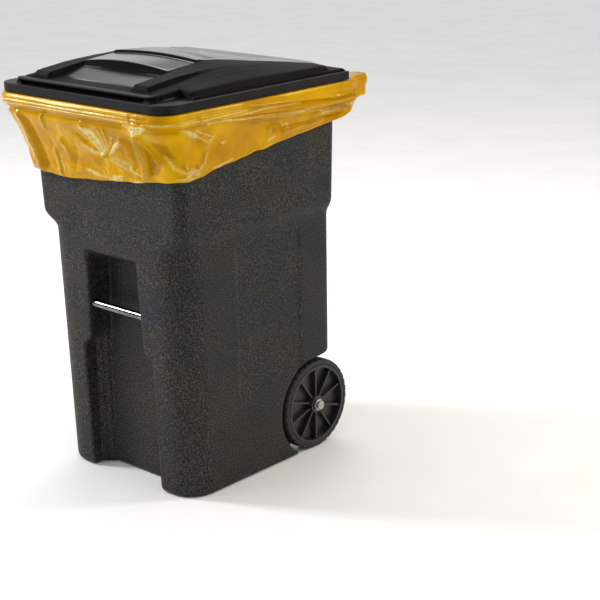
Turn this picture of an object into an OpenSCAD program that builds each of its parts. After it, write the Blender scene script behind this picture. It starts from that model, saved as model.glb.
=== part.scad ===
// Two-wheeled roll-out waste bin with a hinged lid and a plastic liner.
// Millimetres. +X is the right side seen from the front, +Y points to the back, +Z is up.
// Origin: on the floor, under the middle of the whole bin.

/* [Lid] */
// Width of the lid across the bin
lid_w = 616; // [596:1:636]
// Depth of the lid, front edge to rear edge
lid_d = 666; // [646:1:686]
// Height of the lower edge of the lid above the floor
lid_z = 1022; // [1012:1:1032]
// Height of the lid's skirt
skirt_h = 21.5; // [18:0.5:24]
// Wall thickness of the lid
lid_t = 3.5; // [3:0.25:4.5]
// Radius of the lid's front corners
lid_front_r = 50; // [40:1:60]

/* [Body] */
// Width of the body below the shoulder
low_w = 500; // [490:1:506]
// Width of the collar at the shoulder
collar_w = 536; // [530:1:544]
// Height of the shoulder, where the collar starts
shoulder_z = 702; // [690:1:715]
// Wall thickness of the body
wall = 4; // [3.5:0.25:5]
// Height of the rim band that the lid closes on
rim_h = 26; // [22:1:28]

/* [Front channel] */
// Width of the channel at its roof
chan_w = 184; // [170:1:190]
// Width of the channel's lower part
chan_low_w = 262; // [240:1:280]
// Height of the channel's roof
chan_top = 622; // [600:1:640]
// Height at which the channel widens
chan_step_z = 370; // [350:1:390]
// Diameter of the catch bar
bar_d = 21; // [18:1:22]
// Height of the catch bar
bar_z = 470; // [440:1:500]

/* [Wheels] */
// Diameter over the tyre
wheel_d = 254; // [240:2:260]
// Width of the tyre
wheel_w = 44; // [38:1:48]
// Diameter of the axle
axle_d = 16; // [14:1:18]

/* [Handle] */
// Diameter of the handle tube, which is also the lid's hinge
tube_d = 32; // [28:1:34]
// Distance from the lid's rear edge back to the tube's axis
tube_back = 64; // [60:1:68]
// Drop of the tube's axis below the lid's lower edge
tube_drop = 22; // [20:1:24]

/* [Liner] */
// Thickness of the liner solid
film = 1.2; // [1:0.1:1.5]
// How far the liner's cuff hangs down at the front
cuff_front = 205; // [150:5:230]
// How far the cuff hangs down at the rear of the sides
cuff_rear = 98; // [80:2:120]

/* [Hidden] */

lid_hw = lid_w / 2;
lid_hd = lid_d / 2;
low_hw = low_w / 2;
collar_hw = collar_w / 2;
tube_y = lid_hd + tube_back;
tube_z = lid_z - tube_drop;
run = 0.06;                          // radial clearance of a running fit

// Rim, and the gap between it and the liner that lies on it
rim_hw = lid_hw + 0.5;
rim_hd = lid_hd - 0.5;
gap = 0.8;
rim_top = lid_z - 4;
rim_low = rim_top - rim_h;
lip_h = 12;                          // upstand inside the lid's skirt
lip_in = 14;                         // upstand's outer face, in from the rim's edge
lip_t = 6;

// The bin's front and rear extremes in the lid-centred frame, and the shift to the origin
pouch_back = 28;                     // the liner's corner pouch behind the tube's axis
front_y = -rim_hd - gap - film;
rear_y = tube_y + pouch_back;
mid_y = (front_y + rear_y) / 2;

// Body levels
back_y = 318;
floor_z = 14;
flare = 0.03;                        // widening of the collar per millimetre of height
rake = 0.0304;                       // forward lean of the front wall
front_low_y = -232;
corner_low_r = 80;
corner_r = 34;
back_r = 30;
chan_back_y = -175;
chan_low_hw = chan_low_w / 2;
chan_rib = [13, 12];                 // width and depth of each step beside the channel's back wall
chan_taper = 0.036;                  // widening of the upper channel per millimetre down, each side
bar_y = -228;
shoulder_h = 42;
boss_len = 24;                       // the boss that holds the bar's end, inside the body
pocket = 20;                         // depth of the pocket in the boss

// Wheels
wheel_r = wheel_d / 2;
axle_y = 255;
well_r = wheel_r + 13;
well_in = 58;                        // depth of the wheel well in from the side
tail_y = 214;                        // the recessed wall between the wheels
tail_z = 190;
tail_slope = 42;
wheel_x = low_hw - 2 - wheel_w / 2;  // middle of the wheel
journal_r = 23;
journal_t = 16;
journal_x = [64, 158];
washer_t = 2.5;
hub_len = wheel_w + 4;
spacer_gap = 0.6;

black = "#1c1d1f";
charcoal = "#2a2c2c";
steel = "#c9cbcc";
rubber = "#141414";
nylon = "#3a3a3a";
yellow = "#f0b310";

module placed() {
    translate([0, -mid_y, 0]) children();
}

// Draws its children on the right side, or mirrored on the left
module side(s) {
    if (s > 0) children();
    else mirror([1, 0, 0]) children();
}

// A cylinder along X from x = a to x = b, about the line through y and z
module rod_x(a, b, r, y, z) {
    translate([a, y, z]) rotate([0, 90, 0]) cylinder(h = b - a, r = r, $fn = 64);
}

// ---------------------------------------------------------------- outlines

function mix(a, b, t) = a + (b - a) * t;
function smooth(t) = let(u = max(0, min(1, t))) u * u * (3 - 2 * u);

// Width and front face of the body at a height
function body_hw(z) = z > shoulder_z ? collar_hw + flare * (z - shoulder_z)
    : mix(low_hw, collar_hw, smooth((z - shoulder_z + shoulder_h) / shoulder_h));
function body_front(z) = front_low_y - rake * z;
function body_corner(z) = mix(corner_low_r, corner_r,
    smooth((z - shoulder_z + shoulder_h) / shoulder_h));
function chan_hw(z) = chan_w / 2 + chan_taper * max(0, chan_top - z);
function body_back(z) = mix(tail_y, back_y, max(0, min(1, (z - tail_z) / tail_slope)));

// Front of the wheel well at a height: the arch round the wheel
function well_front(z) = axle_y - sqrt(max(0, pow(well_r, 2) - pow(z - wheel_r, 2)));

// Half of a level's outline, from the middle of the front to the middle of the back.
// d is the inset, ch the depth of the channel from 0 to 1, cw the half width of its upper part,
// wide its widening from 0 to 1, and well is 1 where the level has a wheel well.
side_panel_y = [-60, -52, 196, 204];
side_panel_in = 4;
arc_n = 8;
function half(hw, yf, yb, rf, rb, d, ch, cw, wide, well, panel, wy) =
    let(
        c1 = mix(cw, chan_low_hw, wide) + d,
        c2 = mix(cw - 2, chan_low_hw - chan_rib[0], wide) + d,
        c3 = mix(cw - 4, chan_low_hw - 2 * chan_rib[0], wide) + d,
        y3 = mix(yf, chan_back_y, ch) + d,
        y2 = mix(yf, chan_back_y - chan_rib[1], ch) + d,
        y1 = mix(yf, chan_back_y - 2 * chan_rib[1], ch) + d,
        cf = max(rf, d + 2), cr = max(rb, d + 2),    // from the outline to the corners' centres
        s = panel * side_panel_in,
        xi = hw - well_in - d)
    concat(
        [[0, y3], [c3 - 1, y3], [c3, y2], [c2 - 1, y2], [c2, y1], [c1 - 1, y1], [c1, yf + d]],
        [for (i = [0:arc_n]) let(a = -90 + 90 * i / arc_n)
            [hw - cf + (cf - d) * cos(a), yf + cf + (cf - d) * sin(a)]],
        [for (i = [0:3]) [hw - d - (i == 1 || i == 2 ? s : 0), min(side_panel_y[i], wy - d - 12 + i * 3)]],
        well == 1
            ? [[hw - d, wy - d], [hw - d - well_in / 2, wy - d], [xi, wy - d],
                [xi, (wy + yb) / 2 - d], [xi, yb - d]]
            : [for (i = [0:4]) let(a = 22.5 * i) [hw - cr + (cr - d) * cos(a), yb - cr + (cr - d) * sin(a)]],
        [[0, yb - d]]);

// The whole ring at height z, from its right half
function ring(h, z) = let(n = len(h)) concat(
    [for (p = h) [p[0], p[1], z]],
    [for (i = [n - 2:-1:1]) [-h[i][0], h[i][1], z]]);

// The body's outline with inset d; zt is the height that sets its shape. A bridge over 0 is for
// the bag: how far it stands off the upper channel's sides, and it clears the side panels too.
function body_half(zt, d, ch, wide, well, bridge = 0) =
    half(body_hw(zt) - (bridge > 0 ? side_panel_in + 1 : 0), body_front(zt), body_back(zt),
        body_corner(zt), back_r, d, ch, chan_hw(zt) + bridge, wide, well,
        bridge == 0 && zt > 235 && zt < shoulder_z - shoulder_h ? 1 : 0,
        well == 1 ? well_front(zt) : back_y - back_r);

// The rim's outline, inset by d from its edge
function rim_half(d) =
    half(rim_hw, -rim_hd, rim_hd, lid_front_r, 18, d, 0, chan_w / 2, 0, 0, 0, rim_hd - 18);

// Closes a stack of rings into one solid. A cap is a fan about two hubs, one on each side,
// because the channel and the wheel wells cut into it.
hub_x = 160;
hub_y = -60;
module loft(rings) {
    n = len(rings[0]);
    m = len(rings);
    back = n / 2;
    last = (m - 1) * n;
    hubs = [for (r = [rings[0], rings[m - 1]]) for (s = [1, -1]) [s * hub_x, hub_y, r[0][2]]];
    polyhedron(
        points = concat([for (r = rings) for (p = r) p], hubs),
        faces = concat(
            [for (i = [0:n - 1]) [i, (i + 1) % n, m * n + (i < back ? 0 : 1)]],
            [[0, m * n, m * n + 1], [back, m * n + 1, m * n]],
            [for (k = [0:m - 2]) for (i = [0:n - 1]) [k * n + i, (k + 1) * n + i, (k + 1) * n + (i + 1) % n]],
            [for (k = [0:m - 2]) for (i = [0:n - 1])
                [k * n + i, (k + 1) * n + (i + 1) % n, k * n + (i + 1) % n]],
            [for (i = [0:n - 1]) [last + (i + 1) % n, last + i, m * n + (i < back ? 2 : 3)]],
            [[last, m * n + 3, m * n + 2], [last + back, m * n + 2, m * n + 3]]),
        convexity = 12);
}

// ---------------------------------------------------------------- body

well_top = wheel_r + well_r;
// Heights of the levels with a wheel well, from the floor to the arch's top
well_zs = [40, 80, wheel_r, 160, tail_z, 212, tail_z + tail_slope, 250, 260, well_top - 1];
roof_drop = 40;                      // slope of the channel's roof from front to back

// Rings of the body's skin at inset d, from the lowest to the highest, where up is how far
// the horizontal faces stand off the outer skin's
function skin(d, up, low, bridge = 0) = concat(
    [ring(body_half(low, d + (d == 0 ? 7 : 0), 1, 1, 1, bridge), low)],
    [ring(body_half(low + 8, d, 1, 1, 1, bridge), low + 8)],
    [for (z = well_zs) ring(body_half(z, d, 1, 1, 1, bridge), z + (z > tail_z ? up : 0))],
    [ring(body_half(well_top + 1, d, 1, 1, 0, bridge), well_top + up + 1)],
    [ring(body_half(chan_step_z - 20, d, 1, 1, 0, bridge), chan_step_z - 20)],
    [ring(body_half(chan_step_z + 12, d, 1, 0, 0, bridge), chan_step_z + 12 + up)],
    [ring(body_half(chan_top - roof_drop, d, 1, 0, 0, bridge), chan_top - roof_drop + up)],
    [ring(body_half(chan_top + 2, d, 0, 0, 0, bridge), chan_top + 2 + up)],
    [for (z = [shoulder_z - shoulder_h, shoulder_z - 30, shoulder_z - 20, shoulder_z - 10,
        shoulder_z, rim_low - 14]) ring(body_half(z, d, 0, 0, 0, bridge), z)]);

module body_shell() {
    inner = skin(wall, wall, floor_z);
    m = len(inner);
    loft(concat(
        skin(0, 0, 0),
        [ring(rim_half(3), rim_low - 1), ring(rim_half(0), rim_low + 3), ring(rim_half(0), rim_top - 3),
            ring(rim_half(3), rim_top), ring(rim_half(lip_in), rim_top),
            ring(rim_half(lip_in + 1), rim_top + lip_h), ring(rim_half(lip_in + lip_t), rim_top + lip_h),
            ring(rim_half(lip_in + lip_t + 2), rim_low + 6)],
        [for (k = [m - 1:-1:0]) inner[k]]));
}

arm_x = [256, 284];
module handle_arms() {
    for (s = [-1, 1]) side(s) translate([arm_x[0], 0, 0]) rotate([90, 0, 90])
        linear_extrude(arm_x[1] - arm_x[0]) {
            translate([tube_y, tube_z]) circle(r = 17.5, $fn = 48);
            polygon([[back_y - 3, rim_top - 3], [tube_y - 18, rim_top - 1.5], [tube_y, tube_z + 16],
                [tube_y + 4, tube_z - 17], [tube_y - 12, tube_z - 21], [back_y - 3, rim_low - 46]]);
        }
}

module journals() {
    for (s = [-1, 1]) side(s) for (x = journal_x) translate([x, 0, 0]) rotate([90, 0, 90])
        linear_extrude(journal_t) {
            translate([axle_y, wheel_r]) circle(r = journal_r, $fn = 48);
            polygon([[tail_y - 2, 60], [axle_y - 4, wheel_r - journal_r + 0.4], [axle_y + 22, wheel_r + 6],
                [axle_y + 22, tail_z - 2], [tail_y - 2, tail_z - 2]]);
        }
}

bush_r = bar_d / 2 + 2;
bar_hw = chan_hw(bar_z);             // half width of the channel where the bar crosses it
module container_body() placed() color(charcoal) difference() {
    union() {
        body_shell();
        handle_arms();
        journals();
        for (s = [-1, 1]) side(s) rod_x(bar_hw + 1, bar_hw + boss_len, bush_r + 4, bar_y, bar_z);
    }
    rod_x(-320, 320, tube_d / 2, tube_y, tube_z);
    rod_x(-journal_x[1] - 40, journal_x[1] + 40, axle_d / 2 + run, axle_y, wheel_r);
    rod_x(-bar_hw - pocket, bar_hw + pocket, bush_r, bar_y, bar_z);
}

module handle_tube() placed() color(black) difference() {
    rod_x(-arm_x[1], arm_x[1], tube_d / 2, tube_y, tube_z);
    rod_x(-arm_x[1] - 1, arm_x[1] + 1, tube_d / 2 - 3, tube_y, tube_z);
}

module handle_cap(s) placed() color(black) side(s) {
    rod_x(arm_x[1], arm_x[1] + 4, tube_d / 2, tube_y, tube_z);
    rod_x(arm_x[1] - 18, arm_x[1] + 1, tube_d / 2 - 3, tube_y, tube_z);
}
module handle_cap_left() handle_cap(-1);
module handle_cap_right() handle_cap(1);

// ---------------------------------------------------------------- lid

// Height of the crown over the lid's lower edge: along the middle, along the ribs' inner and
// outer edges, beside the ribs, near the sides and at the sides
mid_line = [[-333, 20], [-328, 21.5], [-303, 21.5], [-298, 37], [-282, 39], [-250, 40], [-172, 57],
    [-165, 79.5], [-110, 82], [-71, 84], [-66, 91], [0, 92], [48, 86], [100, 77], [146, 68],
    [220, 56], [290, 43], [318, 31], [328, 21.5], [333, 20]];
rib_line = [[-333, 20], [-328, 21.5], [-303, 21.5], [-298, 37], [-287, 42], [-279, 53], [-50, 81],
    [0, 79], [48, 75], [146, 64], [220, 55], [290, 43], [318, 31], [328, 21.5], [333, 20]];
shoulder_line = [[-333, 20], [-328, 21.5], [-303, 21.5], [-298, 37], [-287, 42], [-279, 53],
    [-188, 64], [-145, 66.5], [-85, 69], [0, 69], [111, 61], [242, 51], [290, 42], [318, 31],
    [328, 21.5], [333, 20]];
crest_line = [[-333, 20], [-328, 21.5], [-303, 21.5], [-298, 37], [-279, 42], [-188, 53], [-85, 65],
    [0, 67], [111, 60], [242, 50], [290, 41], [318, 30], [328, 21.5], [333, 20]];
ridge_line = [[-333, 20], [-328, 21.5], [-303, 21.5], [-298, 31], [-279, 33], [-222, 36], [-200, 41],
    [-60, 43], [262, 42], [272, 29], [318, 28], [328, 21.5], [333, 20]];
edge_line = [[-333, 20], [-328, 21.5], [-303, 21.5], [-296, 29], [318, 29], [328, 21.5], [333, 20]];

rib_x = [150, 157, 207, 214];
ridge_x = 284;
// The front corners are cut down to the skirt's ledge outside x and in front of y
corner_x = [250, 253];
corner_y = [-226, -222];

function clamp(v) = max(0, min(1, v));
function hood_side(y) = let(m = lookup(y, mid_line))
    y < -165 ? m - 12 * clamp((y + 172) / 7)
    : y < -66 ? m - mix(12, 7, clamp((y + 165) / 94))
    : mix(m - 7, lookup(y, rib_line), clamp((y + 66) / 40));
function full_crown(x, y) = let(u = abs(x), rib = lookup(y, rib_line), out = lookup(y, shoulder_line),
        crest = lookup(y, crest_line), ridge = lookup(y, ridge_line))
    u < rib_x[0] ? mix(lookup(y, mid_line), hood_side(y), pow(u / rib_x[0], 2))
    : u < rib_x[1] ? mix(hood_side(y), rib, (u - rib_x[0]) / (rib_x[1] - rib_x[0]))
    : u < rib_x[2] ? mix(rib, out, (u - rib_x[1]) / (rib_x[2] - rib_x[1]))
    : u < rib_x[3] ? mix(out, crest, (u - rib_x[2]) / (rib_x[3] - rib_x[2]))
    : u < ridge_x ? mix(crest, ridge, (u - rib_x[3]) / (ridge_x - rib_x[3]))
    : u < 290 ? mix(ridge, lookup(y, edge_line), (u - ridge_x) / (290 - ridge_x))
    : u < 296 ? lookup(y, edge_line)
    : mix(21.5, 20, max(0, (u - 302) / 6));
function crown(x, y) = let(z = full_crown(x, y), cut = min(clamp((abs(x) - corner_x[0]) / 3),
        clamp((corner_y[1] - y) / 4)))
    mix(z, min(z, 21.5), cut);

// Grid lines of the crown: every place where its slope changes
crown_x = [0, 50, 100, 130, 150, 157, 182, 207, 214, 250, 253, 284, 290, 296, 297, 302, 309];
crown_y = [-334, -328, -303, -298, -287, -279, -250, -226, -222, -200, -188, -172, -165, -145, -110,
    -85, -71, -66, -46, -26, 0, 48, 100, 146, 220, 242, 262, 272, 290, 318, 328, 334];

module crown_shell() {
    xs = concat([for (i = [len(crown_x) - 1:-1:1]) -crown_x[i]], crown_x);
    nx = len(xs);
    ny = len(crown_y);
    top = [for (y = crown_y) for (x = xs) [x, y, lid_z + crown(x, y)]];
    low = [for (p = top) [p[0], p[1], p[2] - lid_t]];
    n = nx * ny;
    rim = concat([for (i = [0:nx - 1]) i], [for (j = [1:ny - 1]) j * nx + nx - 1],
        [for (i = [nx - 2:-1:0]) (ny - 1) * nx + i], [for (j = [ny - 2:-1:1]) j * nx]);
    polyhedron(points = concat(top, low), faces = concat(
        [for (j = [0:ny - 2]) for (i = [0:nx - 2]) let(a = j * nx + i) [a, a + nx, a + nx + 1]],
        [for (j = [0:ny - 2]) for (i = [0:nx - 2]) let(a = j * nx + i) [a, a + nx + 1, a + 1]],
        [for (j = [0:ny - 2]) for (i = [0:nx - 2]) let(a = n + j * nx + i) [a, a + nx + 1, a + nx]],
        [for (j = [0:ny - 2]) for (i = [0:nx - 2]) let(a = n + j * nx + i) [a, a + 1, a + nx + 1]],
        [for (k = [0:len(rim) - 1]) let(a = rim[k], b = rim[(k + 1) % len(rim)]) [a, b, b + n]],
        [for (k = [0:len(rim) - 1]) let(a = rim[k], b = rim[(k + 1) % len(rim)]) [a, b + n, a + n]]),
        convexity = 10);
}

// The lid's outline, inset by d: round front corners and nearly square rear ones
module lid_outline(d) {
    r = lid_front_r;
    for (s = [-1, 1]) {
        translate([s * (lid_hw - r), -lid_hd + r]) circle(r = r - d, $fn = 64);
        translate([s * (lid_hw - 8), lid_hd - 8]) circle(r = 8 - d, $fn = 32);
    }
    square_x = lid_hw - r;
    translate([-square_x, -lid_hd + d]) square([2 * square_x, lid_d - 2 * d]);
    translate([-lid_hw + d, -lid_hd + r]) square([lid_w - 2 * d, lid_d - r - 8]);
    translate([-lid_hw + 8, lid_hd - 20]) square([lid_w - 16, 20 - d]);
}

ear_x = [186, 214];
sleeve_t = 2;
ear_bore = tube_d / 2 + run + sleeve_t;
ear_r = ear_bore + 6;
grip_hw = 246;
module lid() placed() color(black) difference() {
    union() {
        intersection() {
            crown_shell();
            translate([0, 0, lid_z]) linear_extrude(110) lid_outline(0);
        }
        translate([0, 0, lid_z]) linear_extrude(skirt_h - 1) difference() {
            lid_outline(0);
            lid_outline(lid_t);
        }
        // front grip: a ledge that stands forward over a finger gap
        translate([0, 0, lid_z + 30]) linear_extrude(7)
            polygon([[-grip_hw, -308], [-grip_hw + 12, -316], [grip_hw - 12, -316], [grip_hw, -308],
                [grip_hw, -291], [-grip_hw, -291]]);
        for (s = [-1, 1]) side(s) translate([ear_x[0], 0, 0]) rotate([90, 0, 90])
            linear_extrude(ear_x[1] - ear_x[0]) {
                translate([tube_y, tube_z]) circle(r = ear_r, $fn = 64);
                polygon([[lid_hd - 2, lid_z + 3], [lid_hd + 6, lid_z + 2], [tube_y - 22, tube_z - 8],
                    [tube_y + 2, tube_z + ear_r - 0.4], [lid_hd + 8, lid_z + 19],
                    [lid_hd - 2, lid_z + 19.5]]);
            }
    }
    for (s = [-1, 1]) side(s) rod_x(ear_x[0] - 1, ear_x[1] + 1, ear_bore, tube_y, tube_z);
}

module hinge_sleeve(s) placed() color(nylon) side(s) difference() {
    rod_x(ear_x[0], ear_x[1], ear_bore, tube_y, tube_z);
    rod_x(ear_x[0] - 1, ear_x[1] + 1, tube_d / 2 + run, tube_y, tube_z);
}
module hinge_sleeve_left() hinge_sleeve(-1);
module hinge_sleeve_right() hinge_sleeve(1);

// ---------------------------------------------------------------- catch bar

module catch_bar() placed() color(steel)
    rod_x(-bar_hw - pocket + 1, bar_hw + pocket - 1, bar_d / 2, bar_y, bar_z);

module bar_bush(s) placed() color(nylon) side(s) difference() {
    rod_x(bar_hw + 0.5, bar_hw + pocket, bush_r, bar_y, bar_z);
    rod_x(bar_hw - 1, bar_hw + pocket + 1, bar_d / 2 + run, bar_y, bar_z);
}
module bar_bush_left() bar_bush(-1);
module bar_bush_right() bar_bush(1);

// ---------------------------------------------------------------- axle and wheels

hub_in = wheel_x - hub_len / 2;
hub_out = wheel_x + hub_len / 2;
axle_end = hub_out + washer_t + 9;
hub_bush_t = 3;
hub_r = 24;
tread = 17;

module axle() placed() color(steel) rod_x(-axle_end, axle_end, axle_d / 2, axle_y, wheel_r);

module spacer(s) placed() color(nylon) side(s) difference() {
    rod_x(journal_x[1] + journal_t + spacer_gap, hub_in - spacer_gap, 13, axle_y, wheel_r);
    rod_x(journal_x[1], hub_in + 1, axle_d / 2, axle_y, wheel_r);
}
module spacer_left() spacer(-1);
module spacer_right() spacer(1);

spokes = 10;
web_t = 8;
module wheel(s) placed() color(black) side(s) translate([wheel_x, axle_y, wheel_r]) rotate([0, 90, 0])
    difference() {
        union() {
            cylinder(h = hub_len, r = hub_r, center = true, $fn = 64);
            cylinder(h = web_t, r = wheel_r - tread - 6, center = true, $fn = 96);
            difference() {
                cylinder(h = wheel_w, r = wheel_r - tread, center = true, $fn = 96);
                cylinder(h = wheel_w + 2, r = wheel_r - tread - 7, center = true, $fn = 96);
            }
            for (i = [0:spokes - 1]) rotate([0, 0, 360 * i / spokes])
                translate([hub_r - 2, -2.5, -wheel_w / 2 + 4]) cube([wheel_r - tread - hub_r - 2, 5, wheel_w - 8]);
        }
        cylinder(h = hub_len + 2, r = axle_d / 2 + run + hub_bush_t, center = true, $fn = 64);
    }
module wheel_left() wheel(-1);
module wheel_right() wheel(1);

module tyre(s) placed() color(rubber) side(s) translate([wheel_x, axle_y, wheel_r]) rotate([0, 90, 0])
    rotate_extrude($fn = 96) polygon([[wheel_r - tread, -wheel_w / 2], [wheel_r - 6, -wheel_w / 2],
        [wheel_r - 1, -wheel_w / 2 + 6], [wheel_r, -wheel_w / 2 + 14], [wheel_r, wheel_w / 2 - 14],
        [wheel_r - 1, wheel_w / 2 - 6], [wheel_r - 6, wheel_w / 2], [wheel_r - tread, wheel_w / 2]]);
module tyre_left() tyre(-1);
module tyre_right() tyre(1);

module hub_bush(s) placed() color(nylon) side(s) difference() {
    rod_x(hub_in, hub_out, axle_d / 2 + run + hub_bush_t, axle_y, wheel_r);
    rod_x(hub_in - 1, hub_out + 1, axle_d / 2 + run, axle_y, wheel_r);
}
module hub_bush_left() hub_bush(-1);
module hub_bush_right() hub_bush(1);

module washer(s) placed() color(steel) side(s) difference() {
    rod_x(hub_out + spacer_gap, hub_out + spacer_gap + washer_t - 1, 15, axle_y, wheel_r);
    rod_x(hub_out, hub_out + 5, axle_d / 2, axle_y, wheel_r);
}
module washer_left() washer(-1);
module washer_right() washer(1);

// Push-on cap that holds the wheel: a domed shell over the axle's end
module axle_cap(s) placed() color(steel) side(s) difference() {
    union() {
        rod_x(hub_out + spacer_gap + washer_t - 1, axle_end + 1.5, 12, axle_y, wheel_r);
        rod_x(hub_out + spacer_gap + washer_t - 1, hub_out + spacer_gap + washer_t + 1, 16, axle_y, wheel_r);
    }
    rod_x(hub_out, axle_end, axle_d / 2, axle_y, wheel_r);
}
module axle_cap_left() axle_cap(-1);
module axle_cap_right() axle_cap(1);

// ---------------------------------------------------------------- liner

// The cuff's outline round the rim and the handle's ends, d outside its inner face, at a
// spread from 1 at the rim to 0 at the hem. It tapers in from the rim to the handle's ends.
function cuff_half(d, spread) =
    let(hw = mix(body_hw(lid_z - 150) + 11, rim_hw + gap, spread),
        yf = mix(body_front(lid_z - 200) - 14, -rim_hd - gap, spread),
        h = half(hw, yf, rim_hd, mix(corner_r + 6, lid_front_r, spread), 18, -d, 0, chan_w / 2, 0, 0, 0, 250),
        n = len(h), x = rim_hw + gap + d, xe = arm_x[1] + 6 + d, xi = arm_x[0] - 8 - d,
        yr = tube_y + pouch_back - film + d)
    concat([for (i = [0:n - 8]) h[i]],
        [[x, rim_hd], [xe, tube_y - 24], [xe, yr], [xi, yr], [xi, tube_y - 29],
            [xi - 20, rim_hd + gap + d], [0, rim_hd + gap + d]]);

// How far the hem hangs below the lid's lower edge at each point of the half outline
function hem(p, i, n) =
    i == n - 1 ? 70 : i == n - 2 ? 46 : i == n - 3 || i == n - 4 ? 4 : i == n - 5 ? 58 : i == n - 6 ? 80
    : lookup(p[1], [[-320, cuff_front], [-250, cuff_front - 33], [-100, cuff_front - 43],
        [10, cuff_front - 54], [160, cuff_front - 77], [290, cuff_rear]]);

// One ring of the cuff: stage 0 is its top edge and stage 1 is just below the rim's band, or
// half way down where the hem is short. The later stages go on to the hem, stage 4.
stage_spread = [1, 1, 0.55, 0.12, 0];
stage_drop = [0, 0, 0.35, 0.7, 1];
over_tube = 6;                       // rise of the liner where it lies over the handle's ends
function cuff_ring(d, top, k) =
    let(h = cuff_half(d, stage_spread[k]), n = len(h),
        z = [for (i = [0:n - 1]) let(high = top + (i == n - 5 || i == n - 4 ? over_tube : 0),
            low = lid_z - hem(h[i], i, n), mid = max(rim_low - 4, (high + low) / 2))
            k == 0 ? high : mix(mid, low, stage_drop[k])])
    concat([for (i = [0:n - 1]) [h[i][0], h[i][1], z[i]]],
        [for (i = [n - 2:-1:1]) [-h[i][0], h[i][1], z[i]]]);

// Face of the liner at distance e from what it lies on: hem, rim, lip, walls, floor
function liner_face(e) =
    let(bag = skin(wall + gap + e + 1, wall + e + 1, floor_z + gap + e, boss_len + 3), m = len(bag))
    concat(
        [for (k = [4:-1:0]) cuff_ring(e, rim_top + gap + e, k)],
        [ring(rim_half(lip_in - gap - e), rim_top + gap + e),
            ring(rim_half(lip_in + 1 - gap - e), rim_top + lip_h + gap + e),
            ring(rim_half(lip_in + lip_t + gap + e), rim_top + lip_h + gap + e),
            ring(rim_half(lip_in + lip_t + 2 + gap + e), rim_low + 6)],
        [for (k = [m - 1:-1:0]) bag[k]]);

module liner() placed() color(yellow) {
    under = liner_face(0);
    over = liner_face(film);
    n = len(under[0]);
    m = len(under);
    rings = concat([for (k = [m - 1:-1:0]) under[k]], over);
    loft(rings);
}

container_body();
handle_tube();
handle_cap_left();
handle_cap_right();
lid();
hinge_sleeve_left();
hinge_sleeve_right();
catch_bar();
bar_bush_left();
bar_bush_right();
axle();
wheel_left();
tyre_left();
hub_bush_left();
spacer_left();
washer_left();
axle_cap_left();
wheel_right();
tyre_right();
hub_bush_right();
spacer_right();
washer_right();
axle_cap_right();
liner();
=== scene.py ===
"""Looks of a two-wheeled roll-out waste bin with a plastic liner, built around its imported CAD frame.

Shapes are worked out in millimetres about the middle of the lid: +X right, +Y back, Z above the
floor. row_frame() takes them to the frame's metres.
"""
import math

import bmesh
import bpy
import numpy as np
from mathutils import Matrix, Vector


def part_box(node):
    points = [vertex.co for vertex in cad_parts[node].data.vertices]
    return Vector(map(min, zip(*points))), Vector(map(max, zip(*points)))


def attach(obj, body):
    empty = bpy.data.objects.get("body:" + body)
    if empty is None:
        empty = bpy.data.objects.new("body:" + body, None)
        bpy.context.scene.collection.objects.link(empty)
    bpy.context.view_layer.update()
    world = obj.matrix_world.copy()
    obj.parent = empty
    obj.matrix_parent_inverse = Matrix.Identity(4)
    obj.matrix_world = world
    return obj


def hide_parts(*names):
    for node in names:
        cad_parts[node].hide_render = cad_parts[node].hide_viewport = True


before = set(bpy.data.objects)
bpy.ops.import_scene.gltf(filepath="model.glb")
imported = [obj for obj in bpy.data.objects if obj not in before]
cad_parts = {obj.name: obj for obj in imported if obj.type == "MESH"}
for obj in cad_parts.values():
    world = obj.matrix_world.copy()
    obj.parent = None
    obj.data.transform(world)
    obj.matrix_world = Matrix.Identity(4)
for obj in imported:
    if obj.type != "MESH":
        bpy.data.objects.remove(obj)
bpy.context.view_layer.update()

MM = 0.001

# ------ sizes, from the frame

LID_HW, LID_HD = 308.0, 333.0        # half width and half depth of the lid
TUBE_BACK, TUBE_DROP = 64.0, 22.0    # the handle tube's axis behind and below the lid's rear edge
SKIRT = 21.5                         # height of the lid's skirt
LID_T = 3.5                          # its wall
LID_FRONT_R = 50.0                   # its front corners
LIP_H, LIP_IN, LIP_T = 12.0, 14.0, 6.0   # the rim's upstand under the lid: height, inset, thickness
RIM_H = 26.0                         # the rim's band


def box_mm(node):
    """The middle of a CAD node's box and half its size along each axis, in millimetres."""
    low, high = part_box(node)
    return [(b + a) / 2 / MM for a, b in zip(low, high)], [(b - a) / 2 / MM for a, b in zip(low, high)]


tube, tube_half = box_mm("handle_tube")
TUBE_R, TUBE_Z = tube_half[2], tube[2]
TUBE_Y = LID_HD + TUBE_BACK
MID_Y = TUBE_Y - tube[1]
LID_Z = TUBE_Z + TUBE_DROP

body_low, body_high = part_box("container_body")
RIM_HW = body_high.x / MM
RIM_HD = -body_low.y / MM - MID_Y
RIM_TOP = body_high.z / MM - LIP_H
RIM_LOW = RIM_TOP - RIM_H

axle, axle_half = box_mm("axle")
AXLE_Y, AXLE_Z, AXLE_R = axle[1] + MID_Y, axle[2], axle_half[2]
tread, tread_half = box_mm("tyre_right")
TYRE_X, TYRE_W, TYRE_R = tread[0], 2 * tread_half[0], tread_half[2]

# ------ sizes of the body's shape

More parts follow.
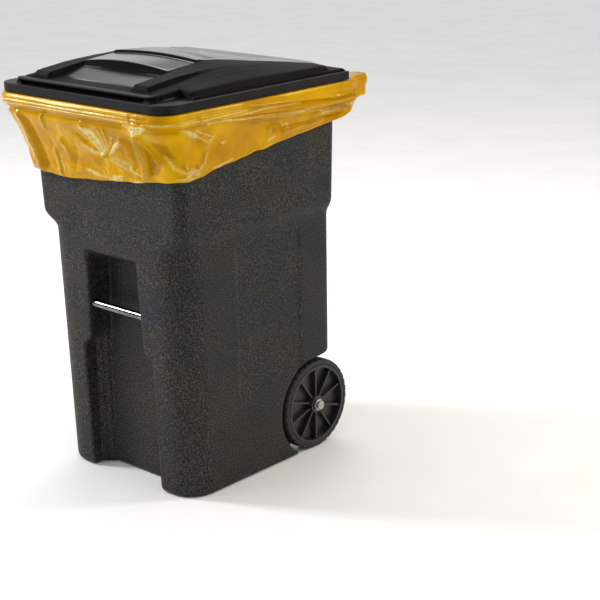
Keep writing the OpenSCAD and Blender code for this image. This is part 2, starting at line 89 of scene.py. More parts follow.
LOW_HW, COLLAR_HW = 250.0, 268.0     # half widths below and above the shoulder
SHOULDER_Z, SHOULDER_H = 702.0, 42.0
FLARE, RAKE = 0.03, 0.0304           # how the collar widens upwards, and the front leans out
FRONT_LOW_Y, BACK_Y = -232.0, 318.0
CORNER_LOW_R, CORNER_R, BACK_R = 80.0, 34.0, 30.0   # front corners below and above the shoulder
WALL, FLOOR_Z, FOOT_R = 4.0, 14.0, 13.0
CHAN_HW, CHAN_LOW_HW = 92.0, 131.0   # the front channel's half widths above and below its step
CHAN_TOP, ROOF_DROP = 622.0, 40.0
CHAN_TAPER, CHAN_STEP_Z = 0.036, 370.0
CHAN_BACK_Y, RIB_W, RIB_D = -175.0, 13.0, 12.0      # its back wall, and the steps of its sides
WELL_R, WELL_IN = TYRE_R + 13.0, 58.0
TAIL_Y, TAIL_Z, TAIL_SLOPE = 214.0, 190.0, 42.0     # the back's cut over the axle
PANEL_Y, PANEL_Z = (-56.0, 200.0), (235.0, 655.0)   # the sunk panel of each side
PANEL_IN, PANEL_EDGE = 5.0, 22.0

# ------ helpers


def mix(a, b, t):
    return a + (b - a) * t


def smooth(t):
    t = np.clip(t, 0.0, 1.0)
    return t * t * (3 - 2 * t)


def row_frame(points):
    """Millimetres about the lid's middle, to metres in the object's frame."""
    return (np.asarray(points, float) - (0, MID_Y, 0)) * MM


def make_piece(name, points, faces, material, body, sharp=None, outward=True):
    """A mesh piece that rides on a body. sharp is the angle above which an edge isn't smoothed."""
    mesh = bpy.data.meshes.new(name)
    mesh.from_pydata(row_frame(points).tolist(), [], [list(f) for f in faces])
    if outward:
        bm = bmesh.new()
        bm.from_mesh(mesh)
        bmesh.ops.recalc_face_normals(bm, faces=bm.faces)
        bm.to_mesh(mesh)
        bm.free()
    mesh.shade_smooth()
    if sharp is not None:
        mesh.set_sharp_from_angle(angle=math.radians(sharp))
    mesh.materials.append(material)
    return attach(add_object(name, mesh), body)


def add_object(name, data):
    """A new object in the scene."""
    obj = bpy.data.objects.new(name, data)
    bpy.context.scene.collection.objects.link(obj)
    return obj


def loft_faces(rings, count, closed=True):
    """Quads between rings of count points each."""
    k = np.arange(rings - 1)[:, None] * count
    i = np.arange(count if closed else count - 1)[None, :]
    j = (i + 1) % count
    return np.stack([k + i, k + j, k + count + j, k + count + i], -1).reshape(-1, 4).tolist()


def hoop_faces(rings, count):
    """Quads between rings of count points each, the last of which joins the first."""
    last = (rings - 1) * count
    joint = [[last + i, last + (i + 1) % count, (i + 1) % count, i] for i in range(count)]
    return loft_faces(rings, count) + joint


def cap_faces(rings, count):
    """Faces over the first and last of a stack of rings."""
    return [list(range(count)), list(range((rings - 1) * count, rings * count))]


def along(points, count, last=False):
    """count points evenly along a polyline, without its end unless last."""
    p = np.asarray(points, float)
    s = np.concatenate([[0], np.cumsum(np.linalg.norm(np.diff(p, axis=0), axis=1))])
    t = np.linspace(0, s[-1], count, endpoint=last)
    return np.stack([np.interp(t, s, p[:, k]) for k in range(p.shape[1])], -1)


def arc(cx, cy, r, start, end, n=16):
    """Points of a circle's arc, with the angles in degrees."""
    a = np.radians(np.linspace(start, end, n + 1))
    return np.column_stack([cx + r * np.cos(a), cy + r * np.sin(a)])


def full_ring(half, z):
    """A whole ring from its right half, which runs from the middle of the front to that of the back."""
    half = np.column_stack([half, np.broadcast_to(z, len(half))])
    return np.concatenate([half, half[-2:0:-1] * (-1, 1, 1)])


def relax(grid, rounds, share=0.5):
    """Softens a stack of closed rings towards the mean of each point's neighbours."""
    for _ in range(rounds):
        mean = (np.roll(grid, 1, 1) + np.roll(grid, -1, 1))[1:-1] + grid[2:] + grid[:-2]
        grid[1:-1] += share * (mean / 4 - grid[1:-1])
    return grid


def wave_noise(points, scale, seed, octaves=14):
    """Smooth noise between about -1 and 1: plane waves in random directions."""
    local = np.random.default_rng(seed)
    total = np.zeros(len(points))
    for _ in range(octaves):
        direction = local.normal(size=3)
        direction /= np.linalg.norm(direction)
        k = 2 * math.pi / scale * local.uniform(0.6, 1.5)
        total += np.sin(points @ direction * k + local.uniform(0, 2 * math.pi))
    return total / math.sqrt(octaves / 2)


# ------ the body's outline


def body_hw(z):
    if z > SHOULDER_Z:
        return COLLAR_HW + FLARE * (z - SHOULDER_Z)
    return mix(LOW_HW, COLLAR_HW, smooth((z - SHOULDER_Z + SHOULDER_H) / SHOULDER_H))


def body_front(z):
    return FRONT_LOW_Y - RAKE * z


def body_back(z):
    return mix(TAIL_Y, BACK_Y, np.clip((z - TAIL_Z) / TAIL_SLOPE, 0, 1))


def body_corner(z):
    return mix(CORNER_LOW_R, CORNER_R, smooth((z - SHOULDER_Z + SHOULDER_H) / SHOULDER_H))


def chan_hw(z):
    return CHAN_HW + CHAN_TAPER * max(0.0, CHAN_TOP - z)


BODY_COUNTS = (70, 20, 70, 26, 40)   # points along the front, corner, side, back corner and back


def outline(hw, front, back, r_front, r_back, inset, counts, channel=0.0, chan=CHAN_HW, wide=0.0,
            well=0.0, well_y=0.0):
    """Right half of a level's outline. channel, wide and well fade those features in, from 0 to 1."""
    c1, c2, c3 = (mix(chan - 2 * k, CHAN_LOW_HW - k * RIB_W, wide) + inset for k in range(3))
    y3, y2, y1 = (mix(front, CHAN_BACK_Y - k * RIB_D, channel) + inset for k in range(3))
    y0 = front + inset
    cf, cr = max(r_front, inset + 2), max(r_back, inset + 2)
    side, end = hw - inset, back - inset
    deep = side - WELL_IN
    well_y -= inset
    fronts = [(0, y3), (c3, y3), (c3, y2), (c2, y2), (c2, y1), (c1, y1), (c1, y0), (hw - cf, y0)]
    plain = [
        along([(side, front + cf), (side, back - cr)], counts[2]),
        along(arc(hw - cr, back - cr, cr - inset, 0, 90), counts[3]),
        along([(hw - cr, end), (0, end)], counts[4], last=True)]
    arched = [
        along([(side, front + cf), (side, well_y)], counts[2]),
        along([(side, well_y), (deep, well_y), (deep, end)], counts[3]),
        along([(deep, end), (0, end)], counts[4], last=True)]
    rear = mix(np.concatenate(plain), np.concatenate(arched), well)
    return np.concatenate([
        along(fronts, counts[0]),
        along(arc(hw - cf, front + cf, cf - inset, -90, 0), counts[1]),
        rear])


def body_level(z, inset, rise=0.0, counts=BODY_COUNTS, bridge=0.0):
    """The body's ring for the height z, set in from its skin, and raised by rise where a face lies flat."""
    channel = 1 - smooth((z - (CHAN_TOP - ROOF_DROP)) / (ROOF_DROP + 2))
    wide = 1 - smooth((z - (CHAN_STEP_Z - 20)) / 32)
    top = AXLE_Z + WELL_R
    well = 1 - smooth((z - (top - 3)) / 4)
    reach = max(0.0, WELL_R**2 - (min(z, top) - AXLE_Z) ** 2)
    half = outline(body_hw(z), body_front(z), body_back(z), body_corner(z), BACK_R, inset, counts,
                   channel, chan_hw(z) + bridge * (1 - wide), wide, well, AXLE_Y - math.sqrt(reach))
    return full_ring(half, z + rise)


def rim_level(inset, z, counts=BODY_COUNTS):
    """A ring of the rim band, whose outline is the lid's."""
    return full_ring(outline(RIM_HW, -RIM_HD, RIM_HD, LID_FRONT_R, 18.0, inset, counts), z)


# ------ body


def body_skin():
    """Rings of the outer skin, with more of them where the shape changes."""
    top = AXLE_Z + WELL_R
    heights = np.unique(np.concatenate([
        [0, 0.6, 2, 4, 7, 10, 13], np.arange(18, top - 12, 6), np.linspace(top - 12, top + 3, 16),
        np.arange(top + 8, CHAN_STEP_Z - 24, 8), np.arange(CHAN_STEP_Z - 24, CHAN_STEP_Z + 20, 4),
        np.arange(CHAN_STEP_Z + 20, CHAN_TOP - ROOF_DROP - 8, 8),
        np.arange(CHAN_TOP - ROOF_DROP - 8, SHOULDER_Z + 10, 4),
        np.arange(SHOULDER_Z + 10, RIM_LOW - 8, 9)]))
    rings = []
    for z in heights:
        foot = FOOT_R * (1 - math.sqrt(1 - (1 - min(z, FOOT_R) / FOOT_R) ** 2))
        rings.append(body_level(z, foot))
    grid = relax(np.array(rings), 9)
    side = np.sign(grid[..., 0]) * (np.abs(grid[..., 0]) > 200)
    y, z = grid[..., 1], grid[..., 2]
    panel = smooth((y - PANEL_Y[0]) / PANEL_EDGE) * smooth((PANEL_Y[1] - y) / PANEL_EDGE)
    panel *= smooth((z - PANEL_Z[0]) / PANEL_EDGE) * smooth((PANEL_Z[1] - z) / PANEL_EDGE)
    grid[..., 0] -= side * panel * PANEL_IN
    return list(grid)


def polar_block(x0, x1, reach, bore, y, z, bevel=1.5, count=96):
    """A plate across X round the axis at y and z, out to reach(angle), with a bore. Points and faces."""
    angle = np.linspace(0, 2 * math.pi, count, endpoint=False)
    radius = reach(angle)
    nip = bevel * 0.3
    levels = [(x0, bore), (x0, radius - bevel), (x0 + nip, radius - nip), (x0 + bevel, radius),
              (x1 - bevel, radius), (x1 - nip, radius - nip), (x1, radius - bevel), (x1, bore)]
    rings = [np.column_stack([np.full(count, x), y + r * np.cos(angle), z + r * np.sin(angle)])
             for x, r in levels]
    if bore <= 0:
        rings[0][:, 1:] = (y, z)
        rings[-1][:, 1:] = (y, z)
    faces = hoop_faces(len(rings), count) if bore > 0 else loft_faces(len(rings), count)
    return np.concatenate(rings), faces


def polygon_reach(corners, base):
    """Radius against angle of a circle of radius base joined to a star-shaped polygon about its centre."""
    corners = np.asarray(corners, float)

    def reach(angle):
        out = np.full(len(angle), float(base))
        d = np.column_stack([np.cos(angle), np.sin(angle)])
        for a, b in zip(corners, np.roll(corners, -1, axis=0)):
            e = b - a
            cross = d[:, 0] * e[1] - d[:, 1] * e[0]
            cross = np.where(np.abs(cross) < 1e-9, 1e-9, cross)
            t = (a[0] * e[1] - a[1] * e[0]) / cross
            u = (a[0] * d[:, 1] - a[1] * d[:, 0]) / cross
            hit = (t > 0) & (u >= -1e-6) & (u <= 1 + 1e-6)
            out = np.where(hit, np.maximum(out, t), out)
        return out
    return reach


def add_parts(points, faces, parts):
    """Appends more points and faces to a mesh's own, each part on both sides of the middle."""
    points, faces = [np.asarray(points, float)], list(faces)
    total = len(points[0])
    for more, more_faces in parts:
        for s in (1, -1):
            points.append(more * (s, 1, 1))
            faces += [[total + i for i in f] for f in more_faces]
            total += len(more)
    return np.concatenate(points), faces


JOURNAL_X, JOURNAL_T, JOURNAL_R = (64.0, 158.0), 16.0, 23.0
ARM_X = (256.0, 284.0)


def make_body(material):
    rings = body_skin()
    for inset, z in ((3, RIM_LOW - 1), (0.6, RIM_LOW + 0.6), (0, RIM_LOW + 3), (0, RIM_TOP - 3),
                     (0.6, RIM_TOP - 0.6), (3, RIM_TOP), (LIP_IN, RIM_TOP), (LIP_IN + 1, RIM_TOP + LIP_H),
                     (LIP_IN + LIP_T, RIM_TOP + LIP_H), (LIP_IN + LIP_T + 2, RIM_LOW + 6)):
        rings.append(rim_level(inset, z))
    inner = [body_level(z, WALL, rise) for z, rise in
             [(z, 0) for z in (RIM_LOW - 4, RIM_LOW - 14, 900, 800, 720, SHOULDER_Z, 690, 680, 670, 660)]
             + [(z, WALL) for z in (CHAN_TOP + 2, 612, 602, 592, 582, 500, 382, 372, 362, 350)]
             + [(300, 0)] + [(z, WALL) for z in (272, 267, 264, 250, 232, 212)]
             + [(z, 0) for z in (190, 160, 127, 80, 40, FLOOR_Z)]]
    rings += inner
    count = len(rings[0])
    faces = loft_faces(len(rings), count) + cap_faces(len(rings), count)
    root, tail = BACK_Y - 3 - TUBE_Y, TAIL_Y - 2 - AXLE_Y
    arm = polygon_reach([(root, RIM_LOW - 46 - TUBE_Z), (-12, -21), (4, -17), (0, 16),
                         (-18, RIM_TOP - 1.5 - TUBE_Z), (root, RIM_TOP - 3 - TUBE_Z)], 17.5)
    journal = polygon_reach([(tail, 60 - AXLE_Z), (-4, -JOURNAL_R + 0.4), (22, 6),
                             (22, TAIL_Z - 2 - AXLE_Z), (tail, TAIL_Z - 2 - AXLE_Z)], JOURNAL_R)
    parts = [polar_block(ARM_X[0], ARM_X[1], arm, TUBE_R, TUBE_Y, TUBE_Z)]
    parts += [polar_block(x, x + JOURNAL_T, journal, AXLE_R + 0.06, AXLE_Y, AXLE_Z) for x in JOURNAL_X]
    points, faces = add_parts(np.concatenate(rings), faces, parts)
    body = make_piece("container_shell", points, faces, material, "container", sharp=50)
    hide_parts("container_body")
    return body


# ------ lid

RIB_IN, RIB_OUT = (149.0, 156.0), (207.0, 214.0)
RIDGE_X, TIER_X = 284.0, 296.0
GRIP_HW, GRIP_LOW = 246.0, 30.0      # the front grip, and the height of its underside

# Heights over the skirt's lower edge along the lid, front to rear, as (y, z)
EDGE = ((-333, 20), (-328, SKIRT), (-303, SKIRT))
TAIL = ((318, 29), (328, SKIRT), (333, 20))
LINES = [EDGE + line + TAIL for line in (
    # the middle of the crown
    ((-298, 37), (-282, 39), (-250, 40), (-172, 57), (-165, 79.5), (-110, 82), (-71, 84), (-66, 91),
     (0, 92), (48, 86), (100, 77), (146, 68), (220, 56), (290, 43)),
    # its inner and outer ribs
    ((-298, 37), (-287, 42), (-279, 53), (-50, 81), (0, 79), (48, 75), (146, 64), (220, 55), (290, 43)),
    ((-298, 37), (-287, 42), (-279, 53), (-188, 64), (-145, 66.5), (-85, 69), (0, 69), (111, 61),
     (242, 51), (290, 42)),
    # the crest beside the ribs
    ((-298, 37), (-279, 42), (-188, 53), (-85, 65), (0, 67), (111, 60), (242, 50), (290, 41)),
    # the side ridge, and its foot
    ((-298, 31), (-279, 33), (-222, 36), (-200, 41), (-60, 43), (262, 42), (270, 30)),
    ((-297, 29),),
)]
CORNER_X, CORNER_Y = 250.0, -222.0   # the front corners are cut down to the skirt's ledge
SLOT_X, SLOT_Y = (226, 245), (-315.5, -290)   # the ends of the finger gap under the grip
STEP_Y, STEP_TOP_Y, HOOD_Y = -172, -165, -66  # the rows of the crown's step and of its raised hood


def ramp(at, start, width):
    """0 up to start, and rising to 1 over width."""
    return np.clip((at - start) / width, 0, 1)


def height(y, line):
    """Height at each y of a line given as (y, z)."""
    ys, zs = np.array(line, float).T
    return np.interp(y, ys, zs)


def crown(x, y):
    """Height of the lid's top over the skirt's lower edge."""
    u = np.abs(x)
    middle, rib, outer, crest, ridge, foot = (height(y, line) for line in LINES)
    side = middle - ramp(y, STEP_Y, 7) * mix(10, 7, ramp(y, STEP_TOP_Y, 94))
    side = mix(side, rib, smooth((y - HOOD_Y) / 40))
    z = mix(middle, side, np.minimum(u / RIB_IN[0], 1) ** 2)
    for start, width, near, far in (
            (RIB_IN[0], RIB_IN[1] - RIB_IN[0], side, rib), (RIB_IN[1], RIB_OUT[0] - RIB_IN[1], rib, outer),
            (RIB_OUT[0], 7, outer, crest), (RIB_OUT[1], RIDGE_X - RIB_OUT[1], crest, ridge),
            (RIDGE_X, 5, ridge, foot), (TIER_X, 1.5, np.minimum(foot, 29), SKIRT)):
        z = np.where(u > start, mix(near, far, ramp(u, start, width)), z)
    cut = np.minimum(ramp(u, CORNER_X, 3), np.clip((CORNER_Y - y) / 4, 0, 1))
    z = mix(z, np.minimum(z, SKIRT), cut)
    slot = (u > SLOT_X[0]) & (u < SLOT_X[1]) & (y > SLOT_Y[0]) & (y < SLOT_Y[1])
    return np.where(slot, np.maximum(z, GRIP_LOW + 0.5), z)


def stops(marks, step=5.0):
    """Grid lines from the first mark to the last that hold every mark, at most step apart."""
    marks = sorted(marks)
    runs = [np.linspace(a, b, max(2, math.ceil((b - a) / step) + 1))[:-1]
            for a, b in zip(marks, marks[1:])]
    return np.concatenate(runs + [[marks[-1]]])


def lid_rows(inset):
    """The lid's grid, seen from above: x and y at each crossing, inside its outline set in by inset."""
    r = LID_FRONT_R
    corner = -LID_HD + r * (1 - np.cos(np.radians(np.arange(0, 90, 6))))
    ys = stops([*corner, -328, -316, -315, -303, -298, -291, -287, -279, -252, -226, -222, -173.5, -172,
                -165, -163, -73, -71, -66, -64, -31, 48, 146, 242, 262, 270, 290, 318, 325, 328, LID_HD])
    us = stops([0, *RIB_IN, 182, *RIB_OUT, 225.5, 226.5, 244.5, 245.5, 250, 253, RIDGE_X, 289, TIER_X,
                297.5, 302, 306, LID_HW]) / LID_HW
    us = np.concatenate([-us[:0:-1], us])
    y = np.clip(ys, -LID_HD + inset, LID_HD - inset)
    dip = np.clip(-LID_HD + r - y, 0, r - inset)
    half = LID_HW - r + np.sqrt(np.maximum((r - inset) ** 2 - dip**2, 0))
    half = np.where(dip > 0, half, LID_HW - inset)
    half = half - 8 * (1 - np.sqrt(1 - np.clip((y - LID_HD + 8) / 8, 0, 1) ** 2))
    keep = ramp(np.abs(us) * LID_HW, 200, 108)[None, :]
    narrow = half[:, None] / (LID_HW - inset)
    return us[None, :] * (LID_HW - inset) * mix(1.0, narrow, keep), y[:, None] + 0 * us


def soften(z, rounds):
    """Rounds a height grid's edges a little, and leaves its border."""
    for _ in range(rounds):
        mean = (z[2:, 1:-1] + z[:-2, 1:-1] + z[1:-1, 2:] + z[1:-1, :-2]) / 4
        z[1:-1, 1:-1] += 0.4 * (mean - z[1:-1, 1:-1])
    return z


def grid_border(rows, columns):
    """Point numbers round the edge of a grid."""
    n = np.arange(rows * columns).reshape(rows, columns)
    return np.concatenate([n[0], n[1:, -1], n[-1, -2::-1], n[-2:0:-1, 0]])


def grip_bar():
    """The front grip: a ledge that stands forward over a finger gap. Points and faces."""
    section = np.array([(-288, 36.4), (-300, 37), (-313, 37), (-315.4, 36), (-316, 34.2), (-315, 31.6),
                        (-312, 30.4), (-300, 30), (-288, 30)])
    end = 12 * (1 - np.cos(np.radians(np.arange(15, 91, 15))))
    xs = np.concatenate([[-GRIP_HW], -GRIP_HW + end, np.linspace(-GRIP_HW + 20, GRIP_HW - 20, 60),
                         GRIP_HW - end[::-1], [GRIP_HW]])
    rings = []
    for x in xs:
        back = max(0.0, abs(x) - GRIP_HW + 12) / 12
        reach = 1 - 0.32 * (1 - math.sqrt(max(0.0, 1 - back**2)))
        y = -288 + (section[:, 0] + 288) * reach
        rings.append(np.column_stack([np.full(len(section), x), y, LID_Z + section[:, 1]]))
    count = len(section)
    return np.concatenate(rings), loft_faces(len(rings), count) + cap_faces(len(rings), count)


POLISH_EDGE = ((-50, 148), (146, 196), (300, 262))   # the polished crown's half width at places along y


def lid_zone(x, y, z, tilt):
    """Which of the lid's materials a face takes: 0 skirt, 1 polished, 2 near-black painted shade in a
    recess, 3 satin top.
    """
    u = abs(x)
    # zone 2 is painted shade: the brow's front wall, the ledge under the grip and the notches at the front
    # corners are made near-black to stand in for shadow
    if u < 149 and (-173 < y < -164 or -72 < y < -65) and z > 50 and tilt < 0.75:
        return 2
    if u < 226 and -326 < y < -288 and SKIRT - 3 < z < 34:
        return 2
    if 249 < u < 254 and (-292 < y < -278 or -241 < y < -226) and z > 23:
        return 2
    half = np.interp(y, *np.array(POLISH_EDGE, float).T)
    if -262 < y < 300 and u < half and tilt > 0.6 and z > 34:
        return 1
    return 3 if z > SKIRT + 2 else 0


def cut_polish_edge(data):
    """Cuts the lid's top along the polished crown's slanting edges, so that materials meet in a line."""
    mesh = bmesh.new()
    mesh.from_mesh(data)
    shift = Vector((0, MID_Y, -LID_Z))
    for side in (-1, 1):
        for (y0, half0), (y1, half1) in zip(POLISH_EDGE, POLISH_EDGE[1:]):
            faces = [f for f in mesh.faces
                     if f.material_index in (1, 3) and f.calc_center_median().x * side > 0
                     and y0 < f.calc_center_median().y / MM + MID_Y < y1]
            near = {e for f in faces for e in f.edges} | {v for f in faces for v in f.verts}
            start = Vector((side * half0, y0 - MID_Y, 0)) * MM
            bmesh.ops.bisect_plane(mesh, geom=faces + list(near), plane_co=start,
                                   plane_no=(y1 - y0, side * (half0 - half1), 0))
    for face in mesh.faces:
        if face.material_index in (1, 3):
            x, y, z = face.calc_center_median() / MM + shift
            face.material_index = lid_zone(x, y, z, face.normal.z)
    mesh.to_mesh(data)
    mesh.free()


def make_lid(materials):
    x, y = lid_rows(0.0)
    rows, columns = x.shape
    top = soften(crown(x, y), 1)
    border = grid_border(rows, columns)
    low_x, low_y = lid_rows(LID_T)
    under = soften(crown(low_x, low_y), 1) - LID_T
    top_points = np.stack([x, y, LID_Z + top], -1).reshape(-1, 3)
    low_points = np.stack([low_x, low_y, LID_Z + under], -1).reshape(-1, 3)
    top_points[border, 2] = LID_Z + SKIRT - 1.2
    low_points[border, 2] = LID_Z + SKIRT - LID_T - 1
    outer, inner = top_points[border], low_points[border]
    rings = [outer + (0, 0, -1.5)]
    rings += [mix(outer, inner, share) * (1, 1, 0) + (0, 0, LID_Z + z) for share, z in
              ((0, 12), (0, 6), (0, 1.2), (0.3, 0), (0.7, 0), (1, 1.2), (1, 8))]
    n, count = rows * columns, len(border)
    grid = loft_faces(rows, columns, closed=False)
    faces = grid + [[i + n for i in f] for f in grid]
    chain = [border] + [2 * n + k * count + np.arange(count) for k in range(len(rings))] + [border + n]
    for a, b in zip(chain, chain[1:]):
        faces += np.stack([a, np.roll(a, -1), np.roll(b, -1), b], -1).tolist()
    ear_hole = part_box("hinge_sleeve_right")
    bore = (ear_hole[1].z - ear_hole[0].z) / 2 / MM
    edge_y = LID_HD - 2 - TUBE_Y
    ear = polygon_reach([(edge_y, LID_Z + 3 - TUBE_Z), (edge_y + 8, LID_Z + 2 - TUBE_Z), (-22, -8),
                         (2, bore + 5.6), (edge_y + 10, LID_Z + 19 - TUBE_Z),
                         (edge_y, LID_Z + 19.5 - TUBE_Z)], bore + 6)
    ears = polar_block(ear_hole[0].x / MM, ear_hole[1].x / MM, ear, bore, TUBE_Y, TUBE_Z)
    points, faces = add_parts(np.concatenate([top_points, low_points, *rings]), faces, [ears])
    grip_points, grip_faces = grip_bar()
    faces += [[len(points) + i for i in f] for f in grip_faces]
    points = np.concatenate([points, grip_points])
    lid = make_piece("lid_shell", points, faces, materials[0], "lid", sharp=32)
    for material in materials[1:]:
        lid.data.materials.append(material)
    for face in lid.data.polygons[:len(grid)]:
        x, y, z = face.center / MM + Vector((0, MID_Y, -LID_Z))
        face.material_index = lid_zone(x, y, z, face.normal.z)
    cut_polish_edge(lid.data)
    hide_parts("lid")
    return lid


# ------ liner

FILM_COUNTS = (84, 34, 176, 84, 64)
FILM_GAP = 1.4                       # the film's middle off what it lies on
BULGE = 5.5                          # how far the band stands out half way down the rim
HEM_OFF_SIDE, HEM_OFF_FRONT = 11.0, 14.0   # the hem off the body's side and front
HEM_AT_POUCH, HEM_AT_BACK = (80, 52), 74   # the hem's drop under the pouch, and across the back
POUCH_BACK = 27.0                    # the pouch's reach behind the handle tube's axis
BAND_ROWS, HANG_ROWS = 22, 64
# How far the hem hangs below the lid, as (place across or along the body, drop)
HEM_SIDE = ((-266, 172), (-190, 157), (-132, 149), (10, 134), (100, 123), (159, 119), (240, 109),
            (290, 101), (334, 88))
HEM_FRONT = ((-308, 196), (-290, 206), (-200, 209), (-141, 213), (13, 201), (160, 187), (248, 176),
             (308, 172))

# Folds of the cuff, as (places, height, width). A place is (s, v): s runs round the rim from the
# middle of the front, right positive, and v runs down from the rim's lower edge.
CORNER_FOLD = (284, 74), (296, 104), (322, 118), (364, 116), (388, 104), (401, 80)
FRONT_FOLDS = (
    # the fan of creases at the middle of the front
    (((7, 32), (34, 68), (59, 102)), 11, 11),
    (((-17, 82), (20, 93), (61, 104)), 7, 6),
    (((137, 52), (104, 76), (66, 100)), 9, 9),
    (((66, 28), (66, 62), (63, 98)), 6, 5),
    (((84, 29), (78, 66), (66, 98)), 6, 5),
    (((-28, 54), (10, 86), (50, 99)), -6, 8),
    (((104, 54), (86, 78), (68, 97)), -5, 6),
    (((63, 105), (100, 118), (190, 138)), 7, 9),
    # the upturned V near the corner, under a knob at the rim
    (((176, 4), (212, 8), (246, 3)), 8, 9),
    (((212, 8), (199, 31)), 10, 11),
    (((184, 34), (186, 84), (195, 140)), 10, 10),
    (((206, 38), (236, 62), (268, 92)), 11, 10),
    (((206, 66), (216, 104)), -9, 15),
    (((164, 50), (162, 120)), -6, 12),
    (((286, 40), (268, 44)), -7, 15),
    # round the corner
    (((338, 11), (377, 34), (408, 54)), 7, 7),
    (((408, 54), (434, 40), (379, 16)), 6, 6),
    (CORNER_FOLD, 8, 6),
    (((329, 96), (326, 122)), 6, 5),
    (((368, 108), (352, 130)), 6, 5),
    (((300, 134), (340, 138), (372, 126)), 6, 5),
    (((458, 66), (472, 64)), 5, 5),
    # the left half
    (((-104, 78), (-94, 108)), 8, 9),
    (((-150, 112), (-157, 176)), 6, 6),
    (((-143, 16), (-155, 52)), 8, 6),
    (((-240, 24), (-246, 100), (-240, 176)), 8, 14),
    (((-214, 40), (-204, 160)), -5, 13),
    (((-60, 96), (-84, 150)), -4, 14),
    # along the hem
    (((-36, 150), (-4, 158), (30, 164)), 6, 6),
    (((48, 162), (78, 150), (106, 150)), 7, 8),
    (((140, 158), (176, 155)), 7, 7),
    (((-110, 168), (-50, 150)), 5, 7),
)
# Long folds that the handle's end pulls along each side
PULL_FOLDS = (
    (((330, 0), (560, 14), (760, 40), (930, 44)), 11, 10),
    (((470, 4), (640, 22), (790, 30), (960, 24)), 9, 8),
    (((400, -6), (640, 8), (860, 20), (980, 14)), 10, 8),
    (((560, -16), (760, -4), (890, 6), (990, 4)), 8, 8),
    (((430, -1), (600, 12), (780, 30), (930, 32)), -9, 7),
    (((440, 8), (640, 30), (800, 40), (940, 37)), -8, 7),
    (((560, -10), (760, 3), (900, 13), (980, 9)), -8, 6),
    (((640, 52), (780, 56), (900, 50)), 6, 7),
    (((700, 72), (820, 68), (920, 58)), 6, 7),
    (((660, 63), (800, 62), (920, 54)), -6, 7),
    (((720, -20), (860, -14), (1000, -8)), -6, 8),
    (((780, 86), (880, 74), (940, 62)), 5, 6),
)
# Fine folds of the tight band round the rim
BAND_FOLDS = (
    (((-330, -20), (-60, -18), (250, -20)), 3.0, 2.4),
    (((-330, -12), (-40, -11), (150, -13), (330, -11)), 3.4, 2.6),
    (((-300, -3), (0, -4), (170, -3)), 3.0, 2.6),
    (((-330, -16), (0, -15), (300, -16)), -3.4, 2.4),
    (((-330, -8), (0, -7), (330, -7)), -3.4, 2.4),
    (((-320, 11), (-60, 12), (150, 11)), -9, 8),
    (((150, 11), (250, 10), (330, 12)), -6, 6),
    (((200, 9), (330, 8), (560, 6)), -5, 7),
    (((330, -5), (470, -8), (620, -8)), 3.6, 3),
    (((300, -16), (430, -18), (600, -17)), 2.8, 3),
    (((190, -24), (194, -6)), 3, 4),
    (((222, -24), (226, -2)), 3, 3),
)
# Where the film is most crumpled, as (s, v, reach along s, reach along v, strength)
CRUMPLED = (
    (45, 74, 80, 44, 0.8), (-160, 95, 70, 70, 0.4), (120, 120, 50, 30, 0.7), (340, 112, 60, 30, 0.7),
    (390, 34, 44, 24, 0.9), (-60, 164, 240, 22, 0.6), (150, 156, 130, 20, 0.6),
    (560, 96, 170, 24, 0.15), (690, 56, 34, 18, 0.7), (-330, 90, 60, 80, 0.4))

# Facets of the film as (strength, corners): painted cream highlights on creased facets, and below them
# painted shade where it doubles back
PAINTED_HIGHLIGHT_FACETS = (
    (1.0, ((2, 28), (36, 33), (50, 60), (62, 100), (42, 92), (20, 68))),
    (0.9, ((137, 50), (132, 62), (104, 82), (82, 94), (92, 74), (116, 57))),
    (0.7, ((-18, 80), (2, 85), (61, 104), (34, 103), (2, 97))),
    (1.0, ((172, 3), (248, 2), (226, 19), (199, 32), (186, 19))),
    (0.4, ((68, 104), (96, 99), (142, 112), (150, 127), (106, 120))),
    (0.7, ((-38, 148), (-20, 146), (30, 160), (6, 162))),
    (0.8, ((48, 162), (72, 149), (106, 147), (92, 160), (66, 167))),
    (0.8, ((136, 160), (152, 153), (178, 155), (160, 166))),
    (0.7, ((-106, 77), (-92, 103), (-97, 109), (-109, 94))),
    (0.6, ((344, 10), (372, 18), (392, 36), (368, 34), (350, 22))),
    (0.5, ((330, 118), (362, 116), (352, 132), (322, 134))),
    (0.2, ((-250, 20), (-238, 20), (-236, 174), (-250, 174))),
    (0.25, ((182, 36), (189, 36), (203, 142), (190, 142))),
    (0.5, ((840, 36), (960, 30), (975, 36), (850, 48))),
)
# painted shade: the hollows inside folds, and a shadow line just under the rim's band
PAINTED_SHADE_FACETS = (
    (1.0, ((202, 36), (236, 66), (264, 94), (240, 126), (207, 134))),
    (0.8, ((240, 38), (290, 50), (304, 82), (270, 72))),
    (0.6, ((-104, 112), (-40, 118), (-46, 142), (-98, 138))),
    (0.5, ((-30, 100), (40, 112), (46, 130), (-20, 132))),
    (0.7, ((-330, 1), (170, 0), (170, 9), (-330, 11))),
    (0.6, ((250, 1), (420, 2), (420, 10), (250, 9))),
    (0.6, ((-238, 20), (-214, 30), (-206, 170), (-232, 170))),
)
